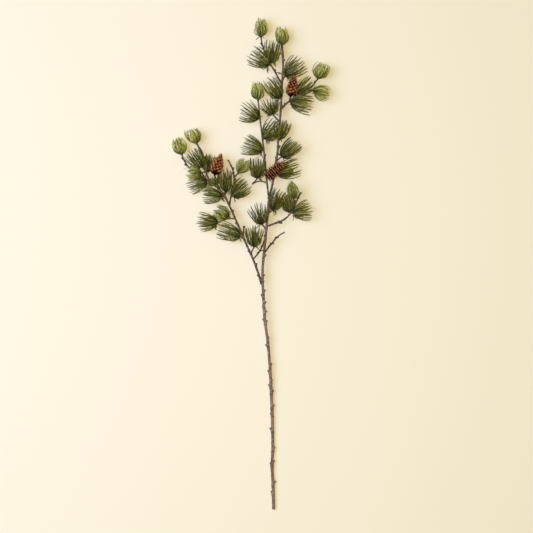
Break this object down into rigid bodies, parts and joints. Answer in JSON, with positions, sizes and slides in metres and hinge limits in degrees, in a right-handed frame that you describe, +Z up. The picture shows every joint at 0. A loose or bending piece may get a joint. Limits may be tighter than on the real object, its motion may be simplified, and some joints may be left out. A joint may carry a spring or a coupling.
{
  "type": "larch sprig",
  "caption": "Cut larch sprig lying flat: a long bare stem that forks into a crown of twigs with dark needle tufts, pale young tufts and brown cones.",
  "frame": {"origin": "middle of the sprig's bounding box, on the surface that it lies on", "axes": "+Y up the sprig from the cut end, +X across it to the right seen from above, +Z up from the surface"},
  "size_m": [0.2698, 0.8406, 0.0404],
  "materials": {
    "bark": "rough grey-brown bark with bud scars",
    "dark_needle": "dark green needles with a slight waxy sheen",
    "pale_needle": "fresh yellow-green needles",
    "cone_scale": "dry reddish-brown scales"
  },
  "bodies": {
    "root": {"main_stem": "bark", "crown_stem": "bark", "right_leader": "bark", "inner_leader": "bark", "left_bough": "bark", "left_inner_twig": "bark", "outer_left_twig": "bark", "left_cone_stalk": "bark", "lower_left_twig": "bark", "cross_twig": "bark", "bare_right_twig": "bark", "right_twig": "bark", "bare_left_twig": "bark", "upper_left_twig": "bark", "upper_right_twig": "bark", "needle_tuft_01": "dark_needle", "needle_tuft_02": "dark_needle", "needle_tuft_03": "dark_needle", "needle_tuft_04": "dark_needle", "needle_tuft_05": "dark_needle", "needle_tuft_06": "dark_needle", "needle_tuft_07": "dark_needle", "needle_tuft_08": "dark_needle", "needle_tuft_09": "dark_needle", "needle_tuft_10": "dark_needle", "needle_tuft_11": "dark_needle", "needle_tuft_12": "dark_needle", "needle_tuft_13": "dark_needle", "needle_tuft_14": "dark_needle", "needle_tuft_15": "dark_needle", "needle_tuft_16": "dark_needle", "needle_tuft_17": "dark_needle", "needle_tuft_18": "dark_needle", "needle_tuft_19": "dark_needle", "needle_tuft_20": "dark_needle", "needle_tuft_21": "dark_needle", "needle_tuft_22": "dark_needle", "needle_tuft_23": "dark_needle", "needle_tuft_24": "dark_needle", "needle_tuft_25": "dark_needle", "needle_tuft_26": "dark_needle", "needle_tuft_27": "dark_needle", "needle_tuft_28": "dark_needle", "young_tuft_01": "pale_needle", "young_tuft_02": "pale_needle", "young_tuft_03": "pale_needle", "young_tuft_04": "pale_needle", "young_tuft_05": "pale_needle", "young_tuft_06": "pale_needle", "young_tuft_07": "pale_needle", "young_tuft_08": "pale_needle", "young_tuft_09": "pale_needle", "young_tuft_10": "pale_needle", "young_tuft_11": "pale_needle", "left_cone": "cone_scale", "middle_cone": "cone_scale", "upper_cone": "cone_scale"}
  },
  "joints": []
}
